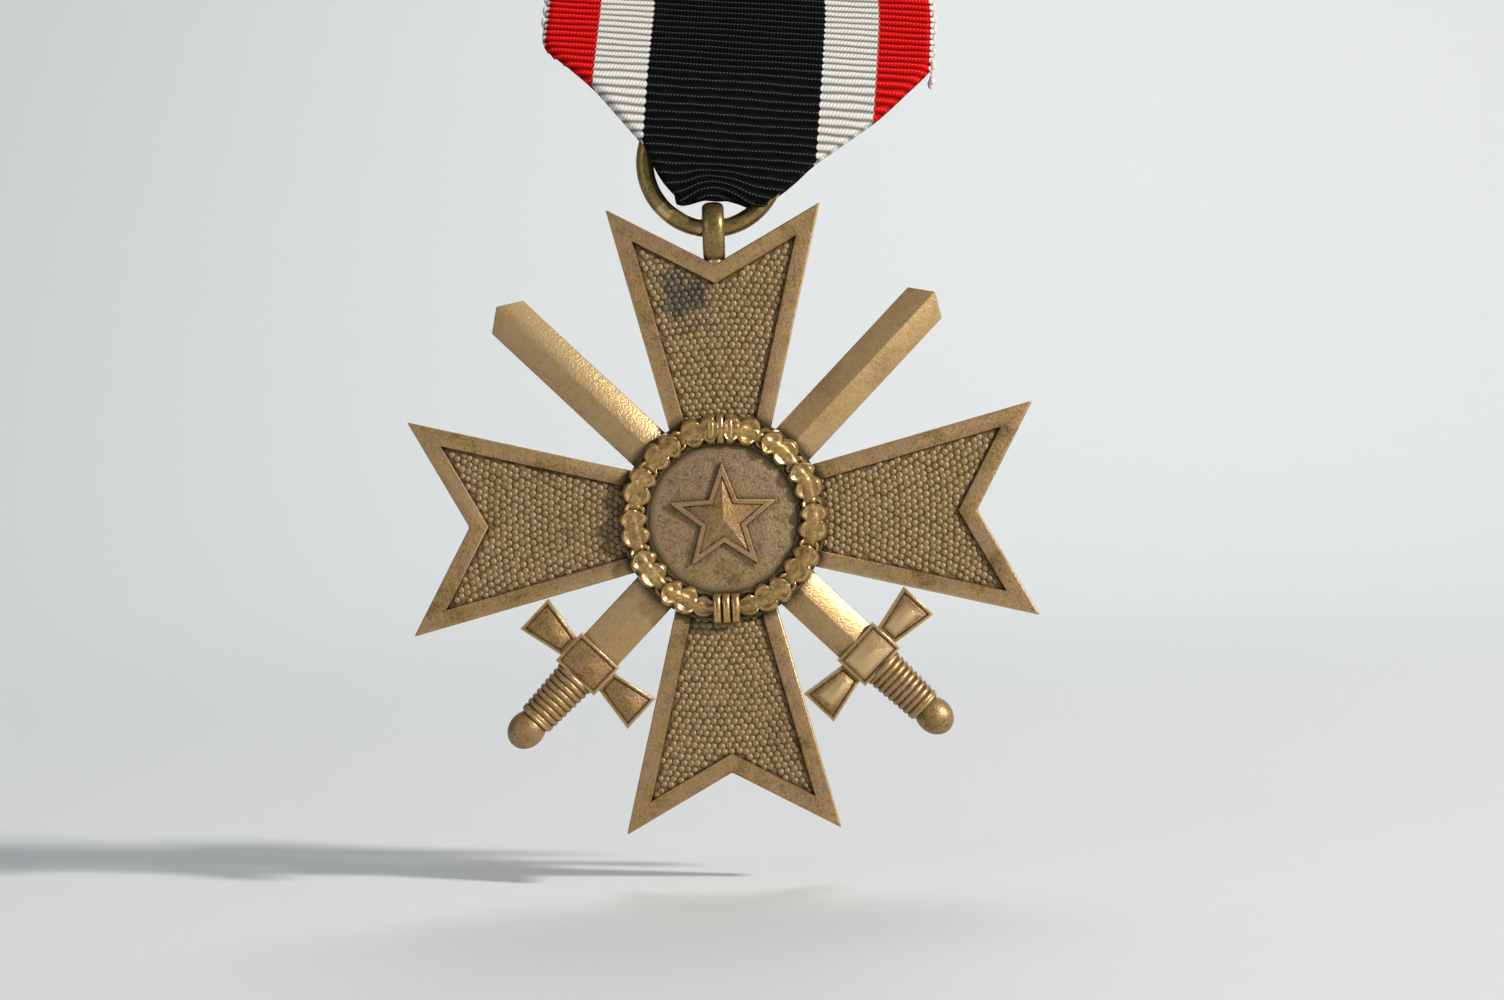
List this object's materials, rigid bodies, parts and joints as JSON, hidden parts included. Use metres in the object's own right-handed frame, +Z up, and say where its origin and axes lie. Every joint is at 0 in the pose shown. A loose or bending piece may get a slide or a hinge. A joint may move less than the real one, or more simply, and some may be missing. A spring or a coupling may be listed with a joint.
{
  "type": "cross medal with ribbon",
  "caption": "Bronze cross with crossed swords and an oak wreath, hung by a ring from a striped ribbon with a brooch pin behind its top.",
  "frame": {"origin": "middle of the brooch needle's length, on its axis, where the cloth of a coat would pass", "axes": "+Z up, with the cross hanging below; -Y is the front face; +X to the right seen from the front"},
  "size_m": [0.0478, 0.0135, 0.0925],
  "materials": {
    "bronze": "struck bronze, matt, with a brown patina",
    "bronze_disc": "struck bronze, finely pitted",
    "bronze_wreath": "struck bronze, rubbed bright on the high leaves",
    "ring_wire": "drawn brass wire, satin",
    "ribbon": "ribbed grosgrain in red, white and black stripes",
    "thread": "twisted thread",
    "plate_steel": "dull plated sheet",
    "needle_steel": "drawn wire"
  },
  "bodies": {
    "hanger": {"hanger_plate": "plate_steel", "hinge_bracket": "plate_steel", "hinge_rivet": "needle_steel", "catch_hook": "plate_steel", "ribbon_upper_front": "ribbon", "ribbon_upper_back": "ribbon", "ribbon_stitches": "thread"},
    "brooch_pin": {"brooch_needle": "needle_steel"},
    "ribbon_fold": {"ribbon_lower": "ribbon"},
    "ring": {"suspension_ring": "ring_wire"},
    "cross": {"cross_plate": "bronze", "sword_left": "bronze", "sword_right": "bronze", "medallion_front": "bronze_disc", "medallion_back": "bronze_disc", "wreath_front": "bronze_wreath", "wreath_back": "bronze_wreath", "wreath_ties_front": "bronze_wreath", "wreath_ties_back": "bronze_wreath", "centre_star": "bronze", "eyelet": "bronze"}
  },
  "joints": [
    {"name": "brooch_pin_open", "type": "hinge", "parent": "hanger", "child": "brooch_pin", "pos_m": [-0.011, 0, 0], "axis": [0, 0, 1], "range_deg": [0, 75]},
    {"name": "ribbon_bend", "type": "hinge", "parent": "hanger", "child": "ribbon_fold", "pos_m": [0, -0.00954, -0.0276], "axis": [1, 0, 0], "range_deg": [-30, 30]},
    {"name": "ring_sway", "type": "hinge", "parent": "ribbon_fold", "child": "ring", "pos_m": [0, -0.01, -0.03533], "axis": [0, 1, 0], "range_deg": [-12, 12]},
    {"name": "medal_swing", "type": "hinge", "parent": "ring", "child": "cross", "pos_m": [0, -0.01, -0.0404], "axis": [1, 0, 0], "range_deg": [-60, 60]}
  ]
}
